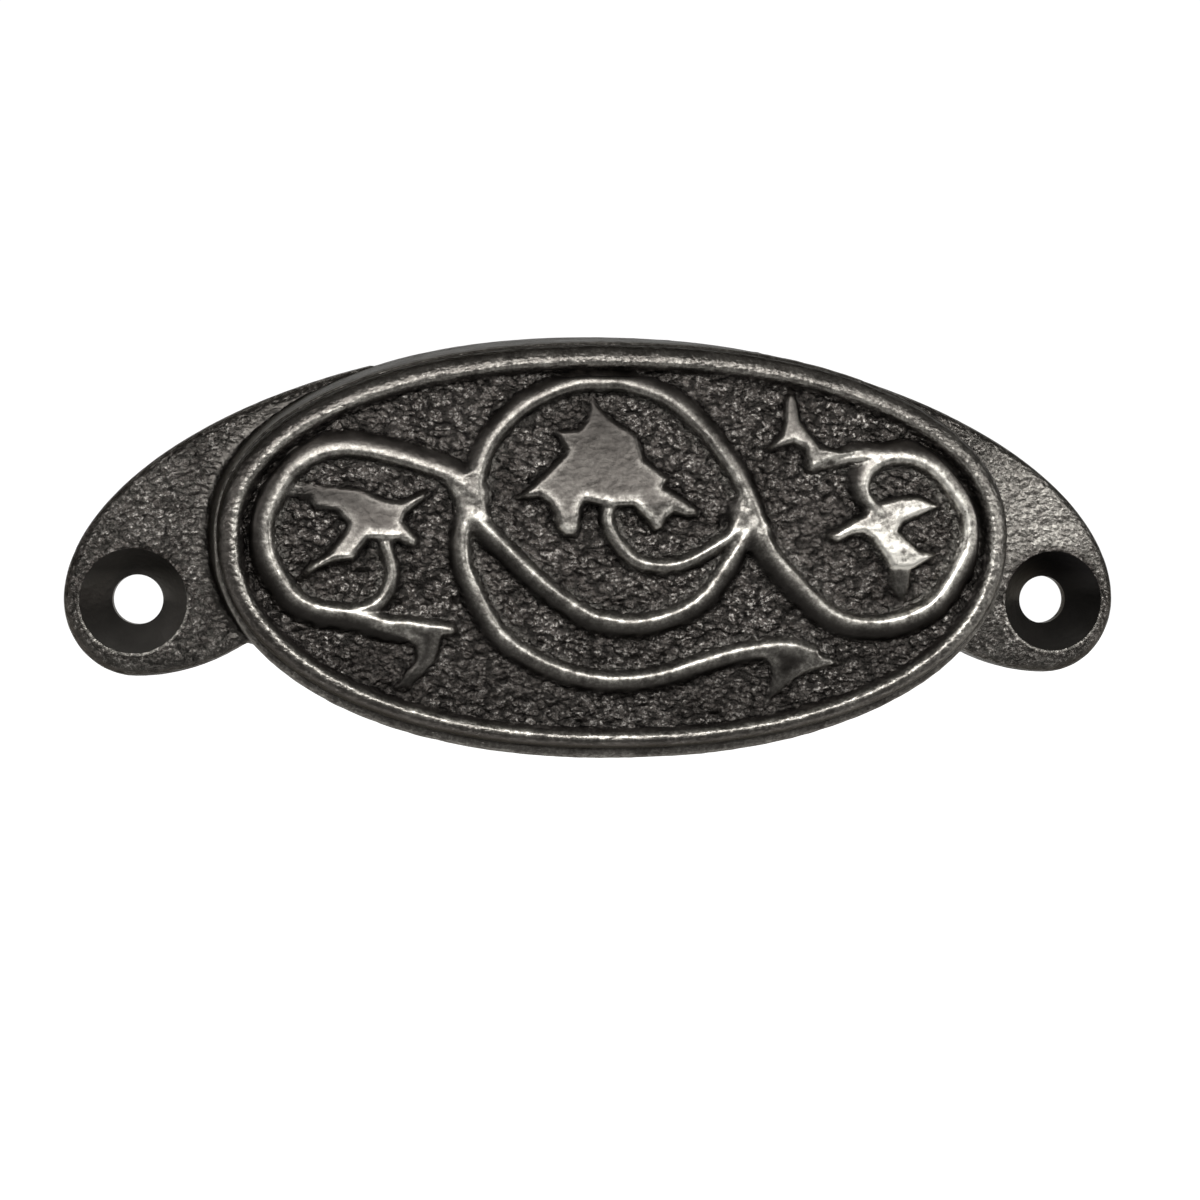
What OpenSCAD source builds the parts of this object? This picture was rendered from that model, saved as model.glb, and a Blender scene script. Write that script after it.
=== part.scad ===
// Cup pull for a drawer: one iron casting, a hollow oval cup between two screw ears,
// with an ivy vine in relief on its front.
// The back lies against the drawer in the plane y = 0, the front faces -y, and +z is up.
// The origin is on the back, midway between the two screw holes.

/* [Ears and screws] */
// Distance between the centres of the two screw holes
hole_spacing = 88.5; // [86:0.5:92]
// Diameter of each screw hole
hole_d = 4.7; // [4.2:0.1:5]
// Diameter of each countersink at the face of the ear
sink_d = 9.8; // [9:0.1:10.2]
// Full angle of each countersink cone
sink_angle = 80; // [76:1:90]
// Distance from a screw hole to the outer tip of its ear
ear_reach = 6.7; // [6.4:0.1:8]
// Distance from a screw hole to the lower edge of its ear
ear_drop = 7.2; // [6.6:0.1:8]
// Thickness of the ears
ear_t = 4; // [3.8:0.1:4.6]
// Width of the rounding along the edge of the ears
ear_edge_w = 2; // [1.4:0.1:2.2]
// Height of the upper edge of the ear plate above the screw holes
plate_top = 25.2; // [24.6:0.1:25.6]

/* [Oval cup] */
// Width of the oval at the foot of the rim
oval_w = 71.2; // [68:0.2:73]
// Height of the oval above its widest line
oval_top = 17.1; // [16.6:0.1:17.6]
// Depth of the oval below its widest line
oval_bottom = 19; // [18.4:0.1:20]
// Height of the widest line of the oval above the screw holes
oval_z = 6.2; // [5.8:0.1:6.6]
// Squareness of the oval, 2 being an ellipse
oval_square = 2.17; // [2:0.01:2.3]
// Projection of the foot of the rim from the drawer
foot_h = 14.4; // [13:0.1:17]
// Draft angle of the side wall
draft = 7.5; // [6:0.5:8.5]
// Thickness of the side wall
wall_t = 2.6; // [2.2:0.1:3]
// Thickness of the face behind the sunk panel
face_t = 2.8; // [2.4:0.1:3.4]
// Radius of the fillet where the side wall meets an ear
fillet_r = 1.4; // [0.8:0.1:1.6]

/* [Rim and lip] */
// Height of the rim crest above the foot of the rim
rim_h = 2; // [1.6:0.1:2.4]
// Distance of the rim crest inside the foot of the rim
rim_in = 1.5; // [1.3:0.1:1.8]
// Distance of the inner edge of the rim inside the foot of the rim
rim_w = 2.6; // [2.4:0.1:3]
// Depth of the sunk panel below the rim crest
panel_drop = 1.3; // [1:0.1:1.5]
// Width of the ledge outside the foot of the rim, at the top and sides
ledge_w = 0.3; // [0.2:0.05:0.5]
// Width of the lip outside the foot of the rim, at the bottom
lip_w = 0.9; // [0.6:0.05:1.2]
// Depth of the lip from the foot of the rim to its back edge
lip_t = 2.8; // [2.4:0.1:3.2]

/* [Finger opening] */
// Distance of the open edge of the side wall below the screw holes
open_drop = 4.2; // [3.8:0.1:4.6]
// Width of the curve by which the side wall rises from the drawer to the lip
cheek_w = 6; // [4:0.5:8]

/* [Ivy vine] */
// Reach of a stem's steep flank from its crest
stem_in = 0.75; // [0.6:0.05:0.9]
// Reach of a stem's long flank from its crest
stem_out = 1.4; // [1:0.1:1.6]
// Height of the stems above the sunk panel
stem_h = 1.15; // [0.8:0.05:1.5]
// Height of the leaves above the sunk panel
leaf_h = 1.25; // [0.8:0.05:1.4]
// Height of the webs where stems part above the sunk panel
web_h = 1.05; // [0.7:0.05:1.3]
// Gap between the vine and the ends of the oval, both ends together
vine_gap_x = 4.9; // [4.6:0.1:8]
// Gap between the vine and the top and bottom of the oval, both together
vine_gap_z = 5.7; // [5:0.1:8]

/* [Hidden] */
iron = [0.25, 0.24, 0.22];
sides = 80;
plate_square = 1.9;
under_r = 18;
under_reach = 10.5;
hole_x = hole_spacing / 2;
pull_w = hole_spacing + 2 * ear_reach;
crest_h = foot_h + rim_h;
panel_h = crest_h - panel_drop;
ceiling_h = panel_h - face_t;
lip_back = foot_h - lip_t;
base_grow = ledge_w + foot_h * tan(draft);
ear_edge_h = 0.6 * ear_t;
sink_depth = (sink_d - hole_d) / 2 / tan(sink_angle / 2);
past = 1;
sunk = 0.5;
leaf_low = 0.35;
ease = 0.4;
crown_r = 1;

// Crests of the stems, as points from the middle of the oval
ring_upper = [
    [-12.7, 3.3], [-12.7, 5.4], [-11.4, 8.6], [-8.5, 11.5], [-2.1, 13.5], [4, 12.1], [8.4, 8], [12.4, 1.3]
];
ring_lower = [[-13.2, 2], [-7.4, -3.7], [-3.4, -6.6], [1.2, -7.5], [5.8, -6.2], [9, -3.1], [11.8, 1.3]];
ring_stalk = [[-0.9, 3.1], [-1.1, 0.7], [1.7, -2.2], [5.5, -2.2], [10.6, 0.6]];
low_runner = [
    [-13.4, 2.3], [-14.1, -1.4], [-11.9, -6.9], [-8.4, -10.3], [-2.9, -12.4], [3.4, -12.2],
    [10.6, -10.1], [17.5, -10.3]
];
left_loop = [
    [-13.4, 4.1], [-18.3, 7.1], [-24.7, 8.1], [-29.8, 5.3], [-31.5, -0.1], [-28.8, -5.3],
    [-23.2, -7.4], [-16.2, -8.2]
];
left_stalk = [[-24.4, -6.8], [-21.4, -5.6], [-20.5, -2.9], [-20.8, -0.3]];
right_loop = [
    [11.1, 2.3], [15.5, -3.5], [18.6, -6.6], [23, -7.9], [29.3, -5.3], [32, 0.6], [29.6, 5.8],
    [24.7, 7.9], [21.9, 6.5], [21.6, 3.8], [23.5, 2.1]
];
right_shoot = [[24.7, 7.9], [20.9, 7.7], [17.2, 7.1]];

// Each stem's crest, and the reach of its flanks to the left and right of the way it runs
STEMS = [
    [ring_upper, stem_out, stem_in], [ring_lower, stem_in, stem_out], [ring_stalk, stem_in, 0.7 * stem_out],
    [low_runner, stem_in, stem_out], [left_loop, stem_in, stem_out], [left_stalk, stem_in, stem_in],
    [right_loop, stem_in, stem_out], [right_shoot, stem_in, stem_out]
];

// Outlines of the ivy leaves, tip to notch to tip
ring_leaf = [
    [-2.9, 12.4], [-1.1, 10.5], [1.2, 9.1], [1.9, 6.9], [4.1, 5.2], [3.6, 4.5], [6.6, 2.3], [4.6, 2.4],
    [2.9, 0.8], [2, 1.6], [0.9, 2.8], [-1.3, 2.7], [-2.7, 2.8], [-4.4, 0.2], [-5.9, 1.4], [-6.6, 3.1],
    [-9.5, 3.6], [-6.9, 5.6], [-5, 7.5], [-6.1, 9.4], [-4, 9.5], [-3.2, 10.4]
];
left_leaf = [
    [-17.4, 3.9], [-19.4, 2.3], [-19.5, 1.3], [-18.2, -0.8], [-19.4, -0.1], [-22.4, -0.1], [-24.2, -1.8],
    [-28.5, -3.5], [-25, -0.8], [-24.3, 0.2], [-25.6, 2], [-27.5, 2.9], [-30.4, 3.7], [-27.4, 5],
    [-24.1, 4.3], [-21.1, 2.8], [-19.6, 2.8]
];
right_leaf = [
    [22.4, 3], [25.4, 3.7], [26.9, 3.8], [29, 2.9], [25.5, 1.5], [25.3, 0.7], [28.6, -1.5], [26.4, -2.8],
    [26.3, -4.3], [25.6, -6], [24.7, -4.5], [24.2, -2.8], [22.7, -0.1], [22.2, 0.4], [19.5, -0.3],
    [18.5, 0.2], [20.7, 1.5], [21.9, 2.1]
];
upper_leaf = [
    [15.1, 13.8], [15.7, 12.3], [16, 10.5], [17.6, 8.6], [19.4, 7.3], [16.8, 6], [16.1, 7.9], [15.4, 8.3],
    [12.9, 7.8], [14.3, 9.3], [14.6, 10.5], [14.6, 12.1]
];
left_low_leaf = [
    [-20.5, -7.1], [-18, -7.3], [-14.7, -8.1], [-16, -8.7], [-16.3, -9.9], [-16.6, -11.1], [-18.8, -13.2],
    [-19.6, -13.4], [-18.5, -10.8], [-18.4, -9.4]
];
right_low_leaf = [
    [12.5, -9.5], [14.6, -9.5], [16.5, -9.9], [20.1, -11.3], [17, -11.9], [14.8, -13.4], [12.9, -15.5],
    [13.7, -12.8], [13.7, -11.6], [12.8, -10.7], [11.5, -10.4]
];

// Each leaf's outline, the middle where it stands full, and the tip where it lies low
LEAVES = [
    [ring_leaf, [-1, 5.5], [-2.9, 12.4]], [left_leaf, [-21.5, 1.6], [-29.5, 4]],
    [right_leaf, [24.3, 1.2], [25.6, -6]], [upper_leaf, [15.8, 8.8], [15.1, 13.8]],
    [left_low_leaf, [-17.6, -8.9], [-19.6, -13.4]], [right_low_leaf, [14.8, -11], [12.9, -15.5]]
];

// Outlines of the webs that fill the forks of the stems, and the middle of each
left_web = [
    [-16.6, 6.3], [-14.4, 5.5], [-12.1, 6.6], [-12.4, 4.1], [-11.8, 1.6], [-13.1, 1.3],
    [-14.4, 0.9], [-14.9, 3.2], [-15.7, 4.7]
];
right_web = [
    [9.3, 7.6], [10.8, 5.5], [12, 3.2], [13.7, 0.2], [12.2, 1.4], [11.3, 0.7], [9.1, -0.2],
    [10.1, 2.1], [10.4, 4.3]
];
WEBS = [[left_web, [-13.5, 4]], [right_web, [11.2, 3]]];

function mix(a, b, k) = a + (b - a) * k;
function keep_sign(v, power) = sign(v) * pow(abs(v), power);
function mirrored(ring) = [for (i = [len(ring) - 1:-1:0]) [-ring[i][0], ring[i][1]]];
function raised(ring, z) = [for (p = ring) [p[0], p[1], z]];

// Point of a rounded rectangle-like oval at an angle, on half widths and heights
function oval_point(angle, half_w, half_up, half_down, square) = [
    half_w * keep_sign(cos(angle), 2 / square),
    (sin(angle) > 0 ? half_up : half_down) * keep_sign(sin(angle), 2 / square)
];

// Ring of the cup at a height: grown evenly, more towards the ears and more towards the lip
function cup_ring(grow, z, ear_grow = 0, lip_grow = 0) = [
    for (i = [0:sides - 1])
        let (
            angle = 90 + 360 * i / sides,
            g = grow + ear_grow * pow(cos(angle), 4) + lip_grow * max(0, -sin(angle)),
            p = oval_point(angle, oval_w / 2 + g, oval_top + g, oval_bottom + g, oval_square)
        )
        [p[0], oval_z + p[1], z]
];

// Right half of the ear plate outline, from the lower edge round the tip to the top
function plate_half() = concat(
    [for (k = [3:-1:1]) let (dx = under_reach * k / 3)
        [hole_x - dx, under_r - ear_drop - sqrt(pow(under_r, 2) - pow(dx, 2))]],
    [for (angle = [-90:18:-18]) [hole_x + ear_reach * cos(angle), ear_drop * sin(angle)]],
    [for (angle = [0:6:84]) oval_point(angle, pull_w / 2, plate_top, plate_top, plate_square)]
);

// Ring moved inwards along its own normals
function inset(ring, d) = [
    for (i = [0:len(ring) - 1])
        let (
            n = len(ring),
            along = ring[(i + 1) % n] - ring[(i + n - 1) % n]
        )
        ring[i] + d * [-along[1], along[0]] / norm(along)
];

// Smooth curve through points, with a few steps between each pair
function curve(pts, steps = 3) = concat(
    [for (i = [0:len(pts) - 2]) for (k = [0:steps - 1])
        let (
            a = pts[max(i - 1, 0)],
            b = pts[i],
            c = pts[i + 1],
            d = pts[min(i + 2, len(pts) - 1)],
            t = k / steps
        )
        0.5 * (2 * b + (c - a) * t + (2 * a - 5 * b + 4 * c - d) * pow(t, 2)
            + (3 * b - a - 3 * c + d) * pow(t, 3))],
    [pts[len(pts) - 1]]
);

// Closed skin through a stack of rings that have the same number of points
module loft(rings) {
    n = len(rings[0]);
    last = (len(rings) - 1) * n;
    skin = [
        for (j = [0:len(rings) - 2]) for (i = [0:n - 1])
            let (a = j * n + i, b = j * n + (i + 1) % n)
            each [[a, a + n, b], [b, a + n, b + n]]
    ];
    polyhedron(
        [for (ring = rings) each ring],
        concat([[for (i = [0:n - 1]) i]], skin, [[for (i = [n - 1:-1:0]) last + i]])
    );
}

// Outside of the cup from the drawer to the sunk panel, with its fillet, lip ledge and rim
module cup_outside() {
    wall_grow = function (z) ledge_w + (foot_h - z) * tan(draft);
    fillet = [for (q = [0:30:90]) cup_ring(
        wall_grow(ear_t + fillet_r * (1 - cos(q))),
        ear_t + fillet_r * (1 - cos(q)),
        fillet_r * (1 - sin(q)))];
    loft(concat(
        [
            cup_ring(base_grow, 0, 1.4 * fillet_r),
            cup_ring(wall_grow(ear_t - ease), ear_t - ease, 1.3 * fillet_r)
        ],
        fillet,
        [
            cup_ring(wall_grow(lip_back - ease), lip_back - ease, 0, 0.5 * lip_w),
            cup_ring(ledge_w, lip_back + 0.3 * lip_t, 0, lip_w - ledge_w),
            cup_ring(0.8 * ledge_w, foot_h - 0.25 * lip_t, 0, 0.8 * (lip_w - ledge_w)),
            cup_ring(0, foot_h)
        ],
        [for (q = [30:30:90]) cup_ring(-rim_in * (1 - cos(q)), foot_h + rim_h * sin(q))],
        [
            cup_ring(-mix(rim_in, rim_w, 0.6), crest_h - 0.3 * panel_drop),
            cup_ring(-rim_w, panel_h)
        ]
    ));
}

// Plate that carries both ears, with its upper edge rounded
module ear_plate() {
    half = plate_half();
    outline = concat(half, [[0, plate_top]], mirrored(half));
    loft(concat(
        [raised(outline, 0)],
        [for (q = [0:30:90]) raised(
            inset(outline, ear_edge_w * (1 - cos(q))), ear_t - ear_edge_h * (1 - sin(q)))]
    ));
}

// Hollow behind the face, open at the back
module hollow() {
    mouth = base_grow - wall_t;
    crown = ledge_w - wall_t;
    loft([
        cup_ring(mix(mouth, crown, -past / ceiling_h), -past),
        cup_ring(mix(mouth, crown, 0.85), 0.85 * ceiling_h),
        cup_ring(crown - 0.3 * crown_r, 0.96 * ceiling_h),
        cup_ring(crown - crown_r, ceiling_h)
    ]);
}

// Space for the fingers under the cup, cut through the lower wall up to the lip
module finger_opening() {
    width = oval_w + 2 * base_grow + 4 * fillet_r;
    low = oval_bottom + lip_w + past;
    translate([-width / 2, oval_z, 0]) rotate([90, 0, 90]) linear_extrude(width) polygon(concat(
        [[-low - past, -past], [-open_drop - oval_z, -past]],
        [for (q = [0:10:90]) [-open_drop - oval_z - cheek_w * (1 - cos(q)), lip_back * sin(q)]],
        [[-low - past, lip_back]]
    ));
}

// Countersunk screw hole through an ear
module screw_hole() {
    translate([0, 0, -past]) cylinder(d = hole_d, h = ear_t + 2 * past, $fn = 48);
    translate([0, 0, ear_t - sink_depth])
        cylinder(d1 = hole_d, d2 = sink_d + 2 * past * tan(sink_angle / 2), h = sink_depth + past, $fn = 64);
}

// Stem with a rounded back that follows a curve, with flanks of unlike reach
module stem(pts, left, right) {
    path = curve(pts);
    last = len(path) - 1;
    section = [
        [left, -sunk], [left, 0], [0.6 * left, 0.7 * stem_h], [0, stem_h],
        [-0.6 * right, 0.7 * stem_h], [-right, 0], [-right, -sunk]
    ];
    loft([
        for (i = [0:last])
            let (
                along = path[min(i + 1, last)] - path[max(i - 1, 0)],
                across = [-along[1], along[0]] / norm(along)
            )
            [for (s = section) let (p = path[i] + s[0] * across) [p[0], p[1], s[1]]]
    ]);
}

// Leaf or web that rises from its outline to a face, which climbs from a low tip to full height
module leaf(outline, middle, low, height) {
    last = len(outline) - 1;
    climb = middle - low;
    climbed = function (p) max(0, min(1, (p - low) * climb / (climb * climb)));
    full = function (p) norm(climb) == 0 ? 1 : mix(leaf_low, 1, climbed(p));
    towards = function (k, share) [
        for (i = [last:-1:0])
            let (q = mix(outline[i], middle, k))
            [q[0], q[1], share < 0 ? -sunk : share * height * full(q)]
    ];
    loft([towards(0, -1), towards(0, 0.15), towards(0.15, 0.75), towards(0.4, 0.95), towards(0.9, 1)]);
}

// Ivy vine over the whole panel, fitted to the oval
module ivy_vine() {
    resize([oval_w - vine_gap_x, oval_top + oval_bottom - vine_gap_z, 0]) union() {
        for (s = STEMS) stem(s[0], s[1], s[2]);
        for (l = LEAVES) leaf(l[0], l[1], l[2], leaf_h);
        for (w = WEBS) leaf(w[0], w[1], w[1], web_h);
    }
}

// Casting before its holes are drilled: cup, ears and vine, hollowed and opened for the fingers
module casting() {
    difference() {
        union() {
            difference() {
                cup_outside();
                finger_opening();
            }
            ear_plate();
            translate([0, oval_z, panel_h]) ivy_vine();
        }
        hollow();
    }
}

// The finished pull, at its full width over the ears, with its screw holes
module cup_pull() {
    color(iron) rotate([90, 0, 0]) difference() {
        resize([pull_w, 0, 0]) casting();
        for (side = [-1, 1]) translate([side * hole_x, 0, 0]) screw_hole();
    }
}

cup_pull();
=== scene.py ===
"""Cup pull: a blackened iron casting with an ivy vine, its high edges burnished bright."""
import math
from types import SimpleNamespace

import bpy
import numpy as np
from mathutils import Euler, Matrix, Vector


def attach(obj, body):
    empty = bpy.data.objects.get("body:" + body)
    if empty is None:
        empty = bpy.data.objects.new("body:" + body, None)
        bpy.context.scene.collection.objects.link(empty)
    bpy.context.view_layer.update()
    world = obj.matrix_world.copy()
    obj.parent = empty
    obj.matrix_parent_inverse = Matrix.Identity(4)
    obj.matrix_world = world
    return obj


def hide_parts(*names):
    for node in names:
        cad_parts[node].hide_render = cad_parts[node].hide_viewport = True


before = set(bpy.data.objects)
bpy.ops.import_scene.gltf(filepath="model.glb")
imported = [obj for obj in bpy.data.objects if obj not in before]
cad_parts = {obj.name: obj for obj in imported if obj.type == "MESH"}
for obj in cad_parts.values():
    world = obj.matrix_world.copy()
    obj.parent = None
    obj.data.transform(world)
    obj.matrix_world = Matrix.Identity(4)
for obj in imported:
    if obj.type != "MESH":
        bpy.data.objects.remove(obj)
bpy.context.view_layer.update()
MM = 0.001

# Sizes in millimetres, in the part's own frame: x to the right, z up, h out of the drawer
HOLE_X = 44.25
HOLE_D = 4.7
HOLE_SIDES = 96
SINK_D = 9.8
SINK_R = SINK_D / 2
SINK_ANGLE = 80.0
EAR_REACH = 6.7
EAR_DROP = 7.2
EAR_T = 4.0
EAR_EDGE_W = 2.0
EAR_EDGE_H = 2.4
EAR_SIDE_H = EAR_T - EAR_EDGE_H
PLATE_TOP = 25.2
PLATE_SQUARE = 1.9
UNDER_R = 18.0
UNDER_REACH = 10.45
OVAL_W = 71.2
OVAL_TOP = 17.1
OVAL_BOTTOM = 19.0
OVAL_Z = 6.2
OVAL_SQUARE = 2.17
FOOT_H = 14.4
DRAFT = math.tan(math.radians(7.5))
WALL_T = 2.6
RIM_H = 2.0
RIM_IN = 1.5
PANEL_DROP = 1.3
FACE_T = 2.8
PANEL_H = FOOT_H + RIM_H - PANEL_DROP
CEILING_H = PANEL_H - FACE_T
LEDGE_W = 0.3
LIP_W = 0.9
LIP_T = 2.8
LIP_BACK = FOOT_H - LIP_T
LIP_EDGE_H = 0.3
OPEN_DROP = 4.2
CHEEK_W = 6.0
BASE_GROW = LEDGE_W + FOOT_H * DRAFT

# The rim's crest lies further out by this much at the lip
RIM_SHIFT = 0.45

# Inside of the rim: how far outside the oval and how high over the panel, from the panel to the crest
RIM_INSIDE = [
    (-2.75, 0.0), (-2.5, 0.08), (-2.3, 0.35), (-2.1, 0.75), (-1.95, 1.03), (-1.82, 1.2), (-1.68, 1.29),
    (-1.5, 1.3)
]

# Ledge under the rim: share of its width, and how far below the foot
LEDGE_STEPS = [(0.35, -0.05), (0.7, -0.12), (0.95, -0.3), (1.05, -0.6)]

# Counts of the skin's grid across and up the panel, and where its border lies outside the oval
PANEL_NX = 264
PANEL_NZ = 132
PANEL_BORDER = -3.0

# Rows of the skin below the rim: where the wall's begin and how many they are, how high they may end over
# the opening, how far below the foot the lip fades out, and shares of the way over the ear, down its side,
# over the back and up the hollow
WALL_START = FOOT_H - 1.0
WALL_ROWS = 10
OPEN_FOOT_MAX = FOOT_H - 1.2
LIP_FADE = (0.8, 4.0)
EAR_ROWS = np.concatenate([np.linspace(0.015, 0.82, 34), np.linspace(0.85, 1, 8)])
SIDE_ROWS = (0.4, 0.75, 1.0)
BACK_ROWS = (0.5, 1.0)
HOLLOW_ROWS = (0.3, 0.6, 0.85)
HOLLOW_TOP = CEILING_H - 0.5

# Passes that settle the height of the wall's end and that round its foot, and the share to which each
# ring of the ceiling shrinks
WALL_END_PASSES = 60
FOOT_PASSES = 6
CEILING_SHRINK = 0.72

# Search for the distance from the oval: its largest value and its halvings
OFFSET_MAX = 40.0
OFFSET_PASSES = 30

# Angles in degrees from which an edge is hard, at the screw holes and elsewhere
HOLE_SHARP = 25
SKIN_SHARP = 65

# Spots of the plate's edge, as shares of its length, that face these angles of the oval
FACING = [-27.5, -24, -18, -10, 0, 10, 20, 30, 45, 60, 90]
FACING_SHARE = [0, 0.067, 0.15, 0.21, 0.275, 0.36, 0.455, 0.548, 0.652, 0.757, 1]

# Crests of the vine's stems, as points from the middle of the oval
RING_UPPER = [
    (-12.7, 3.3), (-12.7, 5.4), (-11.4, 8.6), (-8.5, 11.5), (-4.5, 13.3), (-2.1, 13.5), (0.3, 13.4),
    (4, 12.1), (7, 9.6), (9.5, 6.5), (10.6, 4.6), (11.5, 2.7), (12.4, 0.9), (13.4, -0.9)
]
RING_LOWER = [
    (-13.2, 2), (-10.8, -0.4), (-7.4, -3.7), (-3.4, -6.6), (-1.2, -7.3), (1.2, -7.5), (3.6, -7.1),
    (5.8, -6.2), (7.7, -4.7), (10.1, -1.2), (11.8, 1.3)
]
RING_STALK = [
    (-0.9, 3.1), (-1.3, 2.1), (-1.1, 0.7), (0.4, -1.4), (1.7, -2.2), (3.6, -2.5), (5.5, -2.2), (7.4, -1.3),
    (10.6, 0.6)
]
LOW_RUNNER = [
    (-13.4, 2.3), (-14, 0.5), (-14.1, -1.4), (-13.7, -3.2), (-11.9, -6.9), (-10.5, -8.8), (-8.4, -10.3),
    (-6, -11.5), (-2.9, -12.4), (0, -12.6), (3.4, -12.2), (7, -11.1), (10.6, -10.1), (14.7, -9.6),
    (17.5, -10.3)
]
LEFT_LOOP = [
    (-13.4, 3.7), (-15, 5.1), (-18.3, 6.3), (-22.3, 7.3), (-24.7, 7.5), (-26.6, 7.1), (-28, 6.3),
    (-29.4, 4.9), (-31, 1.6), (-31.1, -0.1), (-30.7, -2.1), (-28.8, -5.1), (-26.8, -6.2), (-24.3, -6.6),
    (-22.4, -7), (-20.7, -7.6), (-19.2, -7.6), (-17.5, -7.9), (-15.3, -8.2)
]
LEFT_STALK = [(-24.3, -6.6), (-22.3, -6.2), (-21.1, -5.2), (-20.4, -3.6), (-20.5, -2.2), (-21, -0.5)]
RIGHT_LOOP = [
    (11.1, 2.3), (12.4, 0.2), (15.5, -3.4), (18.6, -6.4), (20.8, -7.4), (23, -7.6), (25.2, -7.3),
    (27.3, -6.5), (29.1, -5.1), (31.3, -1.4), (31.6, 0.6), (31.3, 2.4), (29.2, 5.4), (27.8, 6.5),
    (26.5, 7.1), (24.8, 7.2), (23.4, 6.8), (22.4, 6), (21.9, 4.8), (22.1, 3.7), (23.5, 2.1)
]
RIGHT_SHOOT = [(24.8, 7.2), (20.9, 7.2), (17.2, 6.5)]

# Each stem's crest, the reach of its flanks to the left and right of the way it runs, and its height
STEMS = [
    (RING_UPPER, 1.6, 0.75, 1.15), (RING_LOWER, 0.75, 1.6, 1.15), (RING_STALK, 0.7, 1.0, 1.1),
    (LOW_RUNNER, 0.8, 1.5, 1.15), (LEFT_LOOP, 0.75, 1.95, 1.15), (LEFT_STALK, 0.75, 1.0, 1.1),
    (RIGHT_LOOP, 0.75, 1.9, 1.15), (RIGHT_SHOOT, 0.7, 1.7, 1.0)
]

# Samples along a stem: how close they lie, how often they are smoothed, and over which of the last
# ones the flanks narrow to the reach of a stem's end
CURVE_STEP = 0.15
CURVE_PASSES = 12
STEM_TAPER = (30, 5)
STEM_END = 0.8

# Points further than this from a stem's box are left out, and so many are measured at once
STEM_NEAR = 3
STEM_BATCH = 3000

# Powers that round a stem's section
STEM_ROUND = (2.0, 0.85)

# Shine of a stem's crest: a glow, with its width on the steep side, what is added there where the stem
# runs upwards, and its width on the long side, and a narrow core
GLOW = 0.75
GLOW_STEEP_W = 0.6
GLOW_UPWARD_W = 0.25
GLOW_LONG_W = 0.5
CORE = 0.4
CORE_W = 0.35

# Outlines of the ivy leaves, and of the webs where stems part, from the middle of the oval
RING_LEAF = [
    (-2.9, 12.4), (-1.1, 10.5), (1.2, 9.1), (1.9, 6.9), (4.1, 5.2), (3.6, 4.5), (5.6, 3.3), (6.6, 2.6),
    (6.7, 2), (5.6, 1.9), (4.6, 2.3), (3.9, 1.7), (3.5, 0.8), (2.8, 0.6), (2.3, 1.4), (0.9, 2.8),
    (-1.3, 2.7), (-3.4, 3.2), (-3.8, 2.5), (-3.9, 1), (-4.2, 0.2), (-5.2, 0.2), (-5.8, 0.8), (-6.1, 2.2),
    (-6.6, 3.1), (-7.4, 3.5), (-9.4, 3.4), (-6.9, 5.6), (-5, 7.5), (-6.1, 9.4), (-4, 9.5), (-3.2, 10.4)
]
LEFT_LEAF = [
    (-17.3, 4.1), (-17.5, 3.3), (-19.1, 2.1), (-19.4, 1.3), (-18.1, -0.3), (-18.4, -0.9), (-19.8, -0.3),
    (-21.3, -0.3), (-22.4, -0.2), (-23.2, -1.2), (-23.7, -2), (-25.3, -2.1), (-26.8, -2.8), (-28.4, -3.7),
    (-27.5, -2.5), (-25.9, -1.5), (-24.5, 0.3), (-24.2, 1), (-25.2, 2.1), (-27.1, 2.5), (-27.8, 3.3),
    (-29.2, 3.4), (-30.6, 3.4), (-28.7, 4.7), (-25.9, 4.4), (-23.3, 4.2), (-21, 3.2), (-19.6, 3)
]
RIGHT_LEAF = [
    (22.4, 3), (25.4, 3.7), (26.9, 3.8), (29, 2.9), (25.5, 1.5), (25.1, 0.6), (27, -1.1), (28.6, -1.5),
    (26.4, -2.8), (24.6, -2.8), (22.7, -0.1), (21.9, 0.5), (20.7, 0.3), (19.5, -0.3), (18.5, 0.2),
    (20.7, 1.5), (21.9, 2.1)
]
RIGHT_TAIL = [(24.2, -2), (26.6, -2), (26.4, -2.8), (26.3, -4.3), (25.6, -6), (24.7, -4.5), (24.4, -2.8)]
UPPER_LEAF = [
    (15.1, 13.8), (15.7, 12.3), (16, 10.5), (17.8, 8.2), (19.7, 7.8), (22.2, 8), (19.4, 7.1), (16.8, 6),
    (16.4, 8), (15.4, 8.5), (12.9, 7.8), (14.3, 9.3), (14.6, 10.5), (14.6, 12.1)
]
LEFT_LOW_LEAF = [
    (-21.7, -6.4), (-20.9, -7.3), (-18, -7.3), (-14.7, -8.1), (-16, -8.7), (-16.3, -9.9), (-16.6, -11.1),
    (-18.8, -13.2), (-20.2, -13.5), (-18.2, -10.8), (-18.3, -9.6), (-19.3, -8.8), (-22.3, -7.9)
]
RIGHT_LOW_LEAF = [
    (12.5, -9.5), (14.6, -9.5), (16.5, -9.9), (20.1, -11.3), (17, -11.9), (14.8, -13.4), (12.9, -15.5),
    (13.7, -12.8), (13.7, -11.6), (12.8, -10.7), (11.5, -10.4)
]
LEFT_WEB = [
    (-16.6, 6.3), (-14.4, 5.5), (-12.1, 6.6), (-12.4, 4.1), (-11.8, 1.6), (-13.1, 1.3), (-14.4, 0.9),
    (-14.9, 3.2), (-15.7, 4.7)
]
RIGHT_WEB = [
    (9.3, 7.6), (10.8, 5.5), (12, 3.2), (13.7, 0.2), (12.2, 1.4), (11.3, 0.7), (9.1, -0.2), (10.1, 2.1),
    (10.4, 4.3)
]

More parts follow.
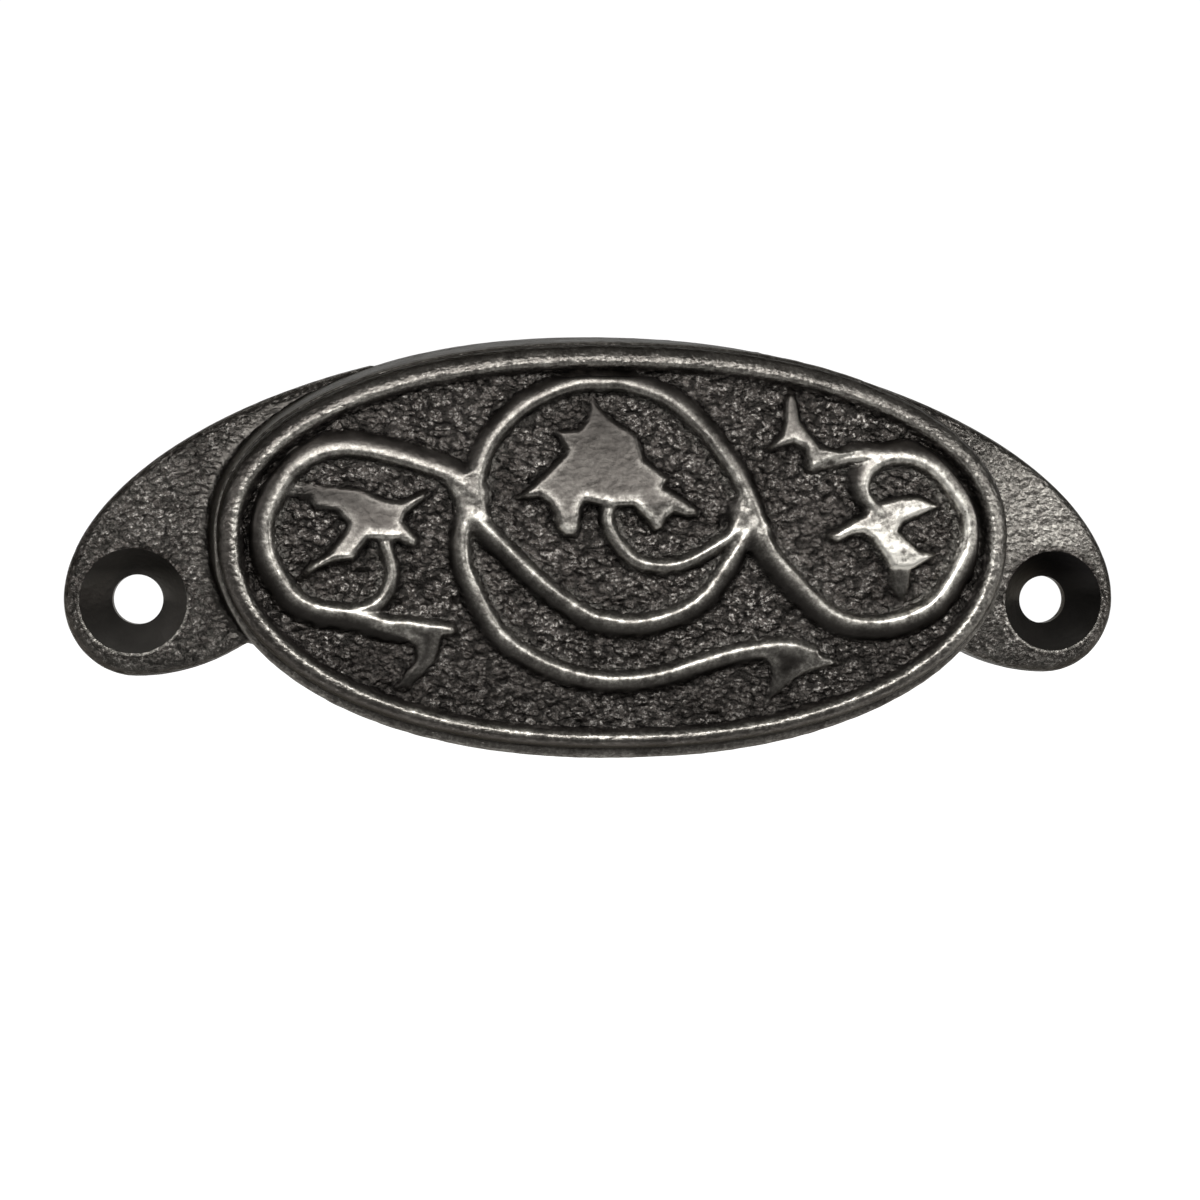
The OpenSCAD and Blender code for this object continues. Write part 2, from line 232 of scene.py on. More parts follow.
# Each leaf's outline and height, the lowest and the highest place between which its face rises, and
# how burnished the face is
LEAVES = [
    (RING_LEAF, 1.3, (-3, 16.5), (-1, 2.5), 0.1),
    (LEFT_LEAF, 1.25, (-25.5, 7.5), (-22, -0.8), 0.04),
    (RIGHT_LEAF, 1.3, (25, 16), (24.5, -1), 1.0),
    (RIGHT_TAIL, 1.15, (25.6, -9), (25.4, -1.5), 0.05),
    (UPPER_LEAF, 1.2, (15.2, 18), (16, 8), 0.12),
    (LEFT_LOW_LEAF, 0.95, (-19.5, -17), (-17.5, -7.8), 0.05),
    (RIGHT_LOW_LEAF, 0.95, (13, -18.5), (15.5, -10.2), 0.05),
    (LEFT_WEB, 1.05, (-12, -20), (-12, 0), 0.3),
    (RIGHT_WEB, 1.05, (11, -20), (11, 0), 0.3)
]

# Step down a leaf that tells whether its edge lies below, and fillet between stems and leaves
LOWER_STEP = 0.3
FILLET = 0.12

# Form of a leaf: share of its height at the lowest place, power of its rise, and width of its border
LEAF_LOW = 0.2
LEAF_RISE = 1.4
LEAF_BORDER = (-0.4, 0.3)

# Shine of a leaf: share of the face's at its lowest place, strength at the lobes, share of that at upper
# edges, and how far inside the outline each begins and ends
FACE_LOW = 0.15
FACE_BORDER = (-0.1, 0.4)
LOBE_SHINE = 1.35
UPPER_EDGE = 0.4
LOBE_BEGIN = (-0.1, 0.15)
LOBE_END = (0.4, 1.2)

# Grain of the cast skin: lumps as size, seed and weight, pits, and waves in the ground alone
LUMPS = [(0.95, 1, 0.55), (0.55, 2, 0.5)]
PIT_SIZE = 0.75
PIT_SEED = 3
PIT_LEVEL = 0.35
PIT_DEPTH = 1.2
WAVES = [(3.4, 4, 0.10), (1.7, 5, 0.06)]
WALL_GRAIN = 0.035
EAR_GRAIN = 0.12
GROUND_GRAIN = 0.22
VINE_GRAIN = 0.02

# Share of the grain lost at the ears' rounded edge and left at the countersinks, and the heights over
# which it fades in from the back
EDGE_SMOOTH = 0.85
HOLE_GRAIN = 0.15
BACK_FADE = (0.2, 1.5)

# The panel ends this far outside the oval, and its ground runs into the vine between these heights
PANEL_EDGE = -2.3
GROUND_TO_VINE = (0.1, 0.7)

# Burnished tones, some made stronger towards the right and weaker towards the top by place alone: where
# each begins and ends, and how strong it is
RIGHT_GAIN = 0.9
RIGHT_SIDE = (18, 31)
TOP_LOSS = 0.4
VINE_TOP = (4, 12)
TOP_RIGHT = (14, 24)
CREST_IN = (-2.1, -1.85)
CREST_OUT = (-1.6, -1.35)
CREST_TOP_LOSS = 0.35
RIM_TOP = (8, 16)
LEDGE_WEAR = 0.35
DOME_WEAR = 0.06
DOME_TOP_GAIN = 0.12
DOME_SIDE_GAIN = [(0.16, (0, 30)), (0.3, (24, 34))]
EAR_WEAR = 0.10
RUB_WEAR = 0.72
RUB_PLACE = (43, 8.5)
RUB_R = 7
EAR_ROUND = (EAR_T - 0.7, EAR_T - 0.1)

# Painted shade and shadow: how strong each is, and where it begins and ends
STEEP_DARK = 0.8
BESIDE_PASSES = 14
BESIDE_SPAN = (0.06, 0.34)
SHADE_W = 0.9
SHADE_SPAN = (-0.3, 0.3)
UPPER_SIDE_DARK = 0.45
CREST_FOOT_DARK = 0.2
RIM_FOOT_DARK = 0.8
WALL_DARK = 0.95
HIGH_FLANK_LOSS = 0.35
LIT_FLANK_LOSS = 0.6
BOTTOM_DARK = 0.4
PANEL_BOTTOM = (-14, -5)
BAND_DARK = 0.75
BAND_SPAN = (2.0, 3.6)
EAR_EDGE_DARK = 0.45
EAR_LOW_DARK = 0.7
EAR_LOW_SPAN = (2.5, 6.5)

# Smooth tones
VINE_EVEN = 0.97
WALL_EVEN = 0.75
EAR_EDGE_EVEN = 0.8
RUB_EVEN = 0.5

# Colours of the metal, with painted glints, painted shade and painted highlights
PATINA_DARK = (0.047, 0.041, 0.037, 1)
PATINA_PALE = (0.097, 0.087, 0.079, 1)
CRACK = (0.022, 0.020, 0.018, 1)
# Colour of the painted glints
GLINT = (0.57, 0.54, 0.50, 1)
# Colour of the painted shade, also of grime in the hollows
SHADE_AND_GRIME_COLOUR = (0.012, 0.011, 0.010, 1)
# Burnished metal, also the colour of the painted highlight on the countersinks' edges
BURNISH_AND_HIGHLIGHT_DULL = (0.21, 0.198, 0.178, 1)
BURNISH_AND_HIGHLIGHT_PALE = (0.45, 0.43, 0.388, 1)
POLISH = (0.80, 0.77, 0.70, 1)
# Countersink colours with painted shade: darker at the top, and darker on the right
LEFT_SINK_TOP = (0.02, 0.019, 0.018, 1)
LEFT_SINK_BOTTOM = (0.17, 0.16, 0.148, 1)
RIGHT_SINK_TOP = (0.012, 0.011, 0.011, 1)
RIGHT_SINK_BOTTOM = (0.07, 0.066, 0.061, 1)
EDGE_TINT = (0.45, 0.44, 0.42, 1)
METALLIC = 0.92

# Scales of the metal's grain, per metre, and heights of its bumps in metres
PATCH_SCALE = 170.0
CLOUD_SCALE = 300.0
DRIFT_SCALE = 700.0
PEBBLE_SCALE = 1250.0
LUMP_SCALE = 1900.0
FINE_SCALE = 3400.0
LUMP_BUMP = -0.00030
PEBBLE_BUMP = 0.0007
FINE_BUMP = 0.00016

# Stage and camera, in metres; each lamp is a name, its place, width and height, and its power
FLOOR_REACH = 4.0
FLOOR_Z = -0.25
FLOOR_GLOW = (-0.15, 0.03)
FLOOR_DARK = (0.90, 0.90, 0.90, 1)
FLOOR_PALE = (0.94, 0.94, 0.94, 1)
SKY_FRONT = (0.035, 0.035, 0.035, 1)
SKY_TOP = (0.20, 0.20, 0.19, 1)
SKY_BEHIND = (1.05, 1.05, 1.05, 1)
LAMP_SPREAD = math.radians(70)
LAMPS = [
    ("soft_box", (-0.04, -0.46, 0.20), 0.5, 0.20, 0.62),
    ("right_light", (0.45, -0.30, 0.10), 0.12, 0.3, 0.16),
    ("left_light", (-0.48, -0.22, 0.12), 0.10, 0.3, 0.07)
]
CAMERA_PLACE = Vector((-20.144, -172.993, 7.783)) * MM
CAMERA_TILT = math.radians(-2.61)
CAMERA_TURN = math.radians(-6.57)
CAMERA_LENS = 53.46
CAMERA_SENSOR = 36.0
CAMERA_CLIP = 0.005


def ramp(v, low, high):
    """0 below low, 1 above high, smooth between."""
    k = np.clip((v - low) / (high - low), 0.0, 1.0)
    return k * k * (3 - 2 * k)


def keep_sign(v, power):
    """A power of the size of v, with the sign of v."""
    return np.sign(v) * np.abs(v) ** power


def oval(t, grow):
    """Points of the cup's oval at the angles t, grown evenly."""
    half = np.where(np.sin(t) > 0, OVAL_TOP, OVAL_BOTTOM) + grow
    return np.stack([(OVAL_W / 2 + grow) * keep_sign(np.cos(t), 2 / OVAL_SQUARE),
                     OVAL_Z + half * keep_sign(np.sin(t), 2 / OVAL_SQUARE)], axis=-1)


def curve(points):
    """Smooth curve through points, as evenly close samples."""
    p = np.array(points, float)
    p = np.vstack([2 * p[0] - p[1], p, 2 * p[-1] - p[-2]])
    out = []
    for a, b, c, d in zip(p[:-3], p[1:-2], p[2:-1], p[3:]):
        n = max(2, int(np.linalg.norm(c - b) / CURVE_STEP))
        t = np.linspace(0, 1, n, endpoint=False)[:, None]
        square = (2 * a - 5 * b + 4 * c - d) * t ** 2
        cube = (3 * b - a - 3 * c + d) * t ** 3
        out.append(0.5 * (2 * b + (c - a) * t + square + cube))
    path = np.vstack(out + [p[-2:-1]])
    for _ in range(CURVE_PASSES):
        path[1:-1] = 0.25 * path[:-2] + 0.5 * path[1:-1] + 0.25 * path[2:]
    return path


def lattice(i, j, k, seed):
    """Repeatable random numbers from 0 to 1 at whole-number places."""
    n = (i * 73856093) ^ (j * 19349663) ^ (k * 83492791) ^ (seed * 2654435)
    n = (n ^ (n >> 13)) * 1274126177 & 0x7fffffff
    return ((n ^ (n >> 16)) & 0xffff) / 65535.0


def noise(p, size, seed):
    """Smooth noise from -1 to 1 with features of about the given size."""
    q = p / size
    base = np.floor(q).astype(np.int64)
    f = q - base
    f = f * f * (3 - 2 * f)
    total = 0.0
    for dx in (0, 1):
        for dy in (0, 1):
            for dz in (0, 1):
                w = (np.where(dx, f[:, 0], 1 - f[:, 0]) * np.where(dy, f[:, 1], 1 - f[:, 1])
                     * np.where(dz, f[:, 2], 1 - f[:, 2]))
                total = total + w * lattice(base[:, 0] + dx, base[:, 1] + dy, base[:, 2] + dz, seed)
    return 2 * total - 1


def layers(p, parts):
    """Sum of noises, each given as size, seed and weight."""
    return sum(noise(p, size, seed) * weight for size, seed, weight in parts)


def grain(p):
    """Pebbled skin of a sand casting, from about -1 to 1."""
    pits = -np.maximum(0, noise(p, PIT_SIZE, PIT_SEED) - PIT_LEVEL) * PIT_DEPTH
    return layers(p, LUMPS) + pits


def stem_field(p, points, left_reach, right_reach, height):
    """Height of a stem over the points p and the shine of its crest, which lies nearer to one side."""
    path = curve(points)
    along = np.gradient(path, axis=0)
    along /= np.linalg.norm(along, axis=1, keepdims=True)
    out = np.zeros(len(p))
    shine = np.zeros(len(p))
    near = np.all((p > path.min(0) - STEM_NEAR) & (p < path.max(0) + STEM_NEAR), axis=1)
    for rows in np.array_split(np.flatnonzero(near), max(1, near.sum() // STEM_BATCH)):
        d = p[rows, None, :] - path[None, :, :]
        best = np.argmin((d ** 2).sum(2), axis=1)
        off = d[np.arange(len(rows)), best]
        far = np.linalg.norm(off, axis=1)
        left = along[best, 0] * off[:, 1] - along[best, 1] * off[:, 0]
        reach = np.where(left > 0, left_reach, right_reach)
        taper = ramp(best, len(path) - STEM_TAPER[0], len(path) - STEM_TAPER[1])
        reach = reach + (STEM_END - reach) * taper
        u = np.clip(far / reach, 0, 1)
        out[rows] = height * (1 - u ** STEM_ROUND[0]) ** STEM_ROUND[1]
        steep = (left > 0) == (left_reach < right_reach)
        width = np.where(steep, GLOW_STEEP_W + GLOW_UPWARD_W * np.abs(along[best, 1]), GLOW_LONG_W)
        shine[rows] = GLOW * np.exp(-(far / width) ** 2) + CORE * np.exp(-(far / CORE_W) ** 2)
    return out, shine


def outline_distance(p, outline):
    """Distance of the points p inside a closed outline, negative outside."""
    a = np.array(outline, float)
    b = np.roll(a, -1, axis=0)
    best = np.full(len(p), 1e9)
    inside = np.zeros(len(p), bool)
    for (ax, ay), (bx, by) in zip(a, b):
        e = np.array([bx - ax, by - ay])
        r = p - (ax, ay)
        k = np.clip((r @ e) / (e @ e), 0, 1)
        best = np.minimum(best, np.linalg.norm(r - k[:, None] * e, axis=1))
        cross = (ay > p[:, 1]) != (by > p[:, 1])
        with np.errstate(divide="ignore", invalid="ignore"):
            at = ax + (p[:, 1] - ay) * (bx - ax) / (by - ay)
        inside ^= cross & (p[:, 0] < at)
    return np.where(inside, best, -best)


def leaf_field(p, outline, height, low, high, burnish):
    """Height of a leaf over the points p and its shine, brightest at the lower edges that stand highest."""
    rise = np.subtract(high, low)
    share = np.clip((p - low) @ rise / (rise @ rise), 0, 1)
    inside = outline_distance(p, outline)
    face = burnish * (FACE_LOW + (1 - FACE_LOW) * share ** 2) * ramp(inside, *FACE_BORDER)
    nearer = inside - outline_distance(p - (0, LOWER_STEP), outline)
    lower = ramp(nearer, 0.2 * LOWER_STEP, 0.9 * LOWER_STEP)
    border = ramp(inside, *LOBE_BEGIN) * (1 - ramp(inside, *LOBE_END))
    lobes = (LOBE_SHINE + burnish) * share ** 3 * border * (UPPER_EDGE + (1 - UPPER_EDGE) * lower)
    form = height * (LEAF_LOW + (1 - LEAF_LOW) * share ** LEAF_RISE) * ramp(inside, *LEAF_BORDER)
    return form, np.maximum(face, lobes)


def blend_max(a, b):
    """The larger of two heights, with a small fillet where they meet."""
    k = np.clip(0.5 + 0.5 * (a - b) / FILLET, 0, 1)
    return b + (a - b) * k + FILLET * k * (1 - k) * (np.minimum(a, b) > 0.02)


def relief(p):
    """Height of the ivy over the sunk panel at the points p, from the middle of the oval, and its shine."""
    out = np.zeros(len(p))
    shine = np.zeros(len(p))
    for field, shapes in ((leaf_field, LEAVES), (stem_field, STEMS)):
        for shape in shapes:
            height, bright = field(p, *shape)
            out = blend_max(out, height)
            shine = np.maximum(shine, bright)
    return out, shine


def panel_grid():
    """Radii and angles of the points of a grid laid over a round disc."""
    across = np.linspace(-1, 1, PANEL_NX + 1)
    upward = np.linspace(-1, 1, PANEL_NZ + 1)
    u, v = np.meshgrid(across, upward, indexing="ij")
    wide = np.abs(u) > np.abs(v)
    r = np.where(wide, u, v)
    safe = np.where(np.abs(r) < 1e-9, 1, r)
    t = np.where(wide, math.pi / 4 * v / safe, math.pi / 2 - math.pi / 4 * u / safe)
    t = np.where(r < 0, t + math.pi, t)
    return np.abs(r).ravel(), t.ravel()


def panel_numbers():
    """Corner numbers of the panel grid."""
    return np.arange((PANEL_NX + 1) * (PANEL_NZ + 1)).reshape(PANEL_NX + 1, PANEL_NZ + 1)


def border_numbers():
    """Corner numbers round the panel grid, counter-clockwise from its lower right."""
    n = panel_numbers()
    return np.concatenate([n[-1, :-1], n[:0:-1, -1], n[0, :0:-1], n[:-1, 0]])


def plate_outline():
    """Right half of the ear plate's outline from the lower junction round the tip to the top."""
    dx = np.linspace(UNDER_REACH, 0.3, 24)
    under = np.stack([HOLE_X - dx, UNDER_R - EAR_DROP - np.sqrt(UNDER_R ** 2 - dx ** 2)], axis=1)
    a = np.radians(np.linspace(-90, -3, 30))
    tip = np.stack([HOLE_X + EAR_REACH * np.cos(a), EAR_DROP * np.sin(a)], axis=1)
    a = np.radians(np.linspace(0, 90, 120))
    power = 2 / PLATE_SQUARE
    top = np.stack([(HOLE_X + EAR_REACH) * np.cos(a) ** power, PLATE_TOP * np.sin(a) ** power], axis=1)
    return np.vstack([under, tip, top])


def plate_edge(t):
    """Points of the plate's edge that face the oval's angles t, on both sides."""
    path = plate_outline()
    run = np.concatenate([[0], np.cumsum(np.linalg.norm(np.diff(path, axis=0), axis=1))])
    right = np.where(np.cos(t) >= 0, t, math.pi - t)
    right = np.degrees((right + math.pi) % (2 * math.pi) - math.pi)
    s = np.interp(right, FACING, np.array(FACING_SHARE) * run[-1])
    x = np.interp(s, run, path[:, 0])
    z = np.interp(s, run, path[:, 1])
    return np.stack([x * np.where(np.cos(t) >= 0, 1, -1), z], axis=1)


def wall_plan(t, h):
    """Points of the drafted wall's outside at the height h."""
    return oval(t, LEDGE_W + (FOOT_H - h) * DRAFT)


def wall_end(t):
    """Height at which the wall ends: 0 at the drawer, more over the finger opening and its cheeks."""
    end_h = np.zeros(len(t))
    for _ in range(WALL_END_PASSES):
        depth = np.clip((-OPEN_DROP - wall_plan(t, end_h)[:, 1]) / CHEEK_W, 0, 1)
        end_h = 0.5 * (end_h + LIP_BACK * np.sqrt(1 - (1 - depth) ** 2))
    return end_h


def edge_round(inward):
    """Share of its height that the ear's rounded edge has this far inside the plate's outline."""
    return np.sqrt(1 - (1 - np.clip(inward / EAR_EDGE_W, 0, 1)) ** 2)


def skin_rings(t):
    """Rings of the skin from the panel over rim, wall and ears into the hollow, and the foot's number."""
    rings = []

    def add(plan, h):
        """Add a ring of points at the height h."""
        rings.append(np.column_stack([plan, np.broadcast_to(h, t.shape)]))

    low = np.maximum(0, -np.sin(t))
    lip_out = (LIP_W - LEDGE_W) * low
    base = oval(t, BASE_GROW)
    free = base[:, 1] < -OPEN_DROP
    end_h = wall_end(t)

    # Rim: steep inside, sharp crest, rounded flank down to the foot
    for d, h in RIM_INSIDE:
        add(oval(t, d + RIM_SHIFT * low), PANEL_H + h)
    for q in np.radians(np.arange(80, -1, -8)):
        add(oval(t, -(RIM_IN - RIM_SHIFT * low) * (1 - math.cos(q))), FOOT_H + RIM_H * math.sin(q))

    # Ledge outside the foot, wider at the lip, then the drafted wall down to the plate or the open edge
    for k, h in LEDGE_STEPS:
        add(oval(t, (LEDGE_W + lip_out) * k), FOOT_H + h)
    edge = plate_edge(t)
    gap = np.linalg.norm(edge - wall_plan(t, EAR_T), axis=1)
    middle = (0, OVAL_Z)
    inside = np.linalg.norm(edge - middle, axis=1) < np.linalg.norm(base - middle, axis=1) + 0.05
    collapsed = free | inside
    gap = np.where(collapsed, 0, gap)
    open_foot = np.minimum(end_h + LIP_EDGE_H, OPEN_FOOT_MAX)
    foot_wall = np.where(free, open_foot, EAR_SIDE_H + EAR_EDGE_H * edge_round(gap))
    for k in np.linspace(0, 1, WALL_ROWS):
        h = WALL_START + (foot_wall - WALL_START) * k
        fade = 1 - ramp(FOOT_H - h, *LIP_FADE)
        add(oval(t, LEDGE_W + (FOOT_H - h) * DRAFT + lip_out * fade), h)
    foot = len(rings) - 1
    corner = rings[foot]

    # Ear: out from the wall to the rounded edge, then down to the back
    outer = np.where(collapsed[:, None], corner[:, :2], edge)
    for k in EAR_ROWS:
        plan = corner[:, :2] + (outer - corner[:, :2]) * k
        h = EAR_T - EAR_EDGE_H * (1 - edge_round(np.linalg.norm(outer - plan, axis=1)))
        add(plan, np.where(collapsed, corner[:, 2], h))
    for k in SIDE_ROWS:
        add(outer, np.where(free, corner[:, 2] - LIP_EDGE_H * k, EAR_SIDE_H * (1 - k)))
    back = rings[-1]

    # Back, then up the inside of the wall to the ceiling
    mouth = oval(t, LEDGE_W + (FOOT_H - end_h) * DRAFT - WALL_T)
    for k in BACK_ROWS:
        add(back[:, :2] + (mouth - back[:, :2]) * k, back[:, 2])
    for k in HOLLOW_ROWS:
        h = back[:, 2] + (HOLLOW_TOP - back[:, 2]) * k
        add(oval(t, LEDGE_W + (FOOT_H - h) * DRAFT - WALL_T), h)
    add(oval(t, LEDGE_W - WALL_T - 0.25), CEILING_H - 0.25)
    add(oval(t, LEDGE_W - WALL_T - 1.0), CEILING_H)
    return rings, foot


def soften(rings, low, high, passes):
    """Round the corners of a run of rings along each section."""
    r = np.array(rings)
    for _ in range(passes):
        r[low:high] += 0.5 * (0.5 * (r[low - 1:high - 1] + r[low + 1:high + 1]) - r[low:high])
    return list(r)


def casting_mesh():
    """Corners and faces of the closed skin of the casting, in millimetres as x, z, h."""
    radius, t = panel_grid()
    centre = np.array([0.0, OVAL_Z])
    plan = oval(t, RIM_SHIFT * np.maximum(0, -np.sin(t)) + PANEL_BORDER)
    plan = centre + (plan - centre) * radius[:, None]
    rise, _ = relief(plan - centre)
    front = np.column_stack([plan, PANEL_H + rise])
    border = border_numbers()
    rings, foot = skin_rings(t[border])
    rings = soften(rings, foot - 2, foot + 4, FOOT_PASSES)

    corners = [front] + rings
    n = panel_numbers()
    faces = np.stack([n[:-1, :-1], n[1:, :-1], n[1:, 1:], n[:-1, 1:]], axis=-1).reshape(-1, 4).tolist()
    last = border
    count = len(front)
    for _ in rings:
        now = count + np.arange(len(border))
        faces += np.stack([last, now, np.roll(now, -1), np.roll(last, -1)], axis=1).tolist()
        last = now
        count += len(border)

    # Ceiling of the hollow: rings with half as many corners each time, then a middle point
    plan = rings[-1][:, :2]
    while len(last) % 2 == 0:
        plan = centre + (plan[::2] - centre) * CEILING_SHRINK
        now = count + np.arange(len(plan))
        corners.append(np.column_stack([plan, np.full(len(plan), CEILING_H)]))
        for i, new in enumerate(now):
            nxt = now[(i + 1) % len(now)]
            a, b, c = last[2 * i], last[2 * i + 1], last[(2 * i + 2) % len(last)]
            faces += [[a, new, b], [b, new, nxt], [b, nxt, c]]
        last = now
        count += len(plan)
    corners.append(np.array([[0, OVAL_Z, CEILING_H]]))
    faces += [[a, count, b] for a, b in zip(last, np.roll(last, -1))]
    return np.vstack(corners), faces


def to_frame(p):
    """Metres in the part's frame from millimetres as x, z, h."""
    return np.column_stack([p[:, 0], -p[:, 2], p[:, 1]]) * MM


def add_mesh(name, corners, faces):
    """Object with a new mesh of corners and faces."""
    mesh = bpy.data.meshes.new(name)
    mesh.from_pydata(corners.tolist(), [], faces)
    mesh.update()
    piece = bpy.data.objects.new(name, mesh)
    bpy.context.collection.objects.link(piece)
    return piece


def apply_modifiers(piece):
    """Keep what the modifiers make of a piece as its mesh."""
    bpy.context.view_layer.update()
    evaluated = piece.evaluated_get(bpy.context.evaluated_depsgraph_get())
    done = bpy.data.meshes.new_from_object(evaluated)
    piece.modifiers.clear()
    piece.data = done


def build_casting():
    """The casting's smooth skin, before its grain and holes."""
    corners, faces = casting_mesh()
    piece = add_mesh("cup_pull_casting", to_frame(corners), faces)
    weld = piece.modifiers.new("weld", "WELD")
    weld.merge_threshold = 1e-6
    apply_modifiers(piece)
    return piece


def cut_holes(piece):
    """Cut both countersunk screw holes."""
    slope = math.tan(math.radians(SINK_ANGLE / 2))
    neck = EAR_T - (SINK_D - HOLE_D) / 2 / slope
    profile = [(HOLE_D / 2, -1.0), (HOLE_D / 2, neck), (SINK_R + slope, EAR_T + 1.0)]
    sides = HOLE_SIDES
    turn = np.arange(sides) * 2 * math.pi / sides
    for side in (-1, 1):
        rings = []
        for r, h in profile:
            x = side * HOLE_X + r * np.cos(turn)
            rings.append(np.column_stack([x, r * np.sin(turn), np.full(sides, h)]))
        faces = [list(range(sides))[::-1], [2 * sides + i for i in range(sides)]]
        for k in (0, sides):
            for i in range(sides):
                j = (i + 1) % sides
                faces.append([k + i, k + j, k + sides + j, k + sides + i])
        cutter = add_mesh("hole_cutter", to_frame(np.vstack(rings)), faces)
        cut = piece.modifiers.new("hole", "BOOLEAN")
        cut.operation = "DIFFERENCE"
        cut.object = cutter
        cut.solver = "EXACT"
        apply_modifiers(piece)
        bpy.data.objects.remove(cutter)


def read_mesh(piece):
    """Corners as x, z, h in millimetres, normals in the same order, and the edges."""
    mesh = piece.data
    p = np.empty(len(mesh.vertices) * 3)
    mesh.vertices.foreach_get("co", p)
    n = np.empty(len(mesh.vertices) * 3)
    mesh.vertices.foreach_get("normal", n)
    e = np.empty(len(mesh.edges) * 2, np.int64)
    mesh.edges.foreach_get("vertices", e)
    p = p.reshape(-1, 3)[:, [0, 2, 1]] * (1 / MM, 1 / MM, -1 / MM)
    n = n.reshape(-1, 3)[:, [0, 2, 1]] * (1, 1, -1)
    return p, n, e.reshape(-1, 2)


def spread(values, edges, passes):
    """Even out values between neighbouring corners."""
    out = values.copy()
    count = np.bincount(edges.ravel(), minlength=len(values))
    for _ in range(passes):
        total = (np.bincount(edges[:, 0], out[edges[:, 1]], len(values))
                 + np.bincount(edges[:, 1], out[edges[:, 0]], len(values)))
        out = 0.5 * out + 0.5 * total / np.maximum(count, 1)
    return out


def oval_offset(p):
    """How far the points x, z lie outside the cup's oval."""
    r = np.abs(p - (0, OVAL_Z))
    half = np.where(p[:, 1] > OVAL_Z, OVAL_TOP, OVAL_BOTTOM)
    low = np.full(len(p), -0.999 * OVAL_TOP)
    high = np.full(len(p), OFFSET_MAX)
    for _ in range(OFFSET_PASSES):
        mid = (low + high) / 2
        across = (r[:, 0] / (OVAL_W / 2 + mid)) ** OVAL_SQUARE
        outside = across + (r[:, 1] / (half + mid)) ** OVAL_SQUARE > 1
        low = np.where(outside, mid, low)
        high = np.where(outside, high, mid)
    return (low + high) / 2


def rim_offset(p, off):
    """How far the points lie outside the oval, less the rim's shift at the lip."""
    return off - RIM_SHIFT * np.clip((OVAL_Z - p[:, 1]) / OVAL_BOTTOM, 0, 1) ** (OVAL_SQUARE / 2)


def hole_distance(p):
    """How far the points lie from the nearest screw hole's axis."""
    return np.hypot(np.abs(p[:, 0]) - HOLE_X, p[:, 1])


def survey(piece):
    """Where each corner of the casting lies, for its grain and tones."""
    p, n, e = read_mesh(piece)
    off = oval_offset(p[:, :2])
    rim = rim_offset(p, off)
    panel = (rim < PANEL_EDGE) & (p[:, 2] > CEILING_H + 1)
    return SimpleNamespace(p=p, n=n, edges=e, x=p[:, 0], up=p[:, 1] - OVAL_Z, h=p[:, 2],
                           off=off, rim=rim, panel=panel)


def roughen(piece):
    """Pebble the cast skin: most in the sunk ground, less on the ears, least on the burnished ivy."""
    s = survey(piece)
    ground = 1 - ramp(s.h - PANEL_H, *GROUND_TO_VINE)
    amount = np.where(s.h > EAR_T + 0.5, WALL_GRAIN, EAR_GRAIN)
    amount[s.panel] = GROUND_GRAIN * ground[s.panel] + VINE_GRAIN
    edge = (s.h < EAR_T + 0.5) * (1 - ramp(s.h, EAR_T - 0.6, EAR_T - 0.1))
    clear = ramp(hole_distance(s.p), SINK_R + 0.1, SINK_R + 1.2)
    amount *= (1 - EDGE_SMOOTH * edge) * (HOLE_GRAIN + (1 - HOLE_GRAIN) * clear)
    amount *= ramp(s.h, *BACK_FADE) * (s.n[:, 2] > -0.3)
    waves = np.where(s.panel, layers(s.p, WAVES), 0) * ground
    moved = s.p + s.n * (amount * grain(s.p) + waves)[:, None]
    piece.data.vertices.foreach_set("co", to_frame(moved).ravel())
    piece.data.update()


def bend_of(s):
    """How sharply the skin bends outwards at each corner, negative in hollows."""
    e = s.edges
    step = s.p[e[:, 1]] - s.p[e[:, 0]]
    length = np.maximum(np.linalg.norm(step, axis=1), 1e-4)
    size = len(s.p)
    bend = (np.bincount(e[:, 0], (step * s.n[e[:, 0]]).sum(1) / length ** 2, size)
            + np.bincount(e[:, 1], -(step * s.n[e[:, 1]]).sum(1) / length ** 2, size))
    bend = -bend / np.maximum(1, np.bincount(e.ravel(), minlength=size))
    return spread(bend, e, 2)


def wear_tone(s):
    """How burnished each corner is: the vine, the rim's crest and outside, the ledge and the ears."""
    # Stronger towards the right and weaker towards the top, by place alone
    gain = 1 + RIGHT_GAIN * ramp(s.x, *RIGHT_SIDE)
    loss = 1 - TOP_LOSS * ramp(s.up, *VINE_TOP) * (1 - ramp(s.x, *TOP_RIGHT))
    vine = s.shine * (gain * loss)
    crest = (s.h > FOOT_H + 1.2) * ramp(s.rim, *CREST_IN) * (1 - ramp(s.rim, *CREST_OUT))
    # The rim's crest weaker towards the top, by place alone
    crest *= 1 - CREST_TOP_LOSS * ramp(s.up, *RIM_TOP)
    ledge = LEDGE_WEAR * (s.h > FOOT_H - 0.7) * ramp(s.off, -0.05, 0.15)
    ear = s.plate * (EAR_WEAR + RUB_WEAR * s.rub) * ramp(s.h, *EAR_ROUND)
    # The rim's outer flank stronger towards the top and the right, by place alone
    dome = DOME_WEAR + DOME_TOP_GAIN * ramp(s.up, *RIM_TOP)
    for strength, span in DOME_SIDE_GAIN:
        dome = dome + strength * ramp(s.x, *span)
    dome = dome * (s.h > FOOT_H) * ramp(s.rim, -1.6, -1.4) * (1 - ramp(s.off, -0.6, -0.3))
    return np.maximum.reduce([vine, crest, ledge, ear, dome])


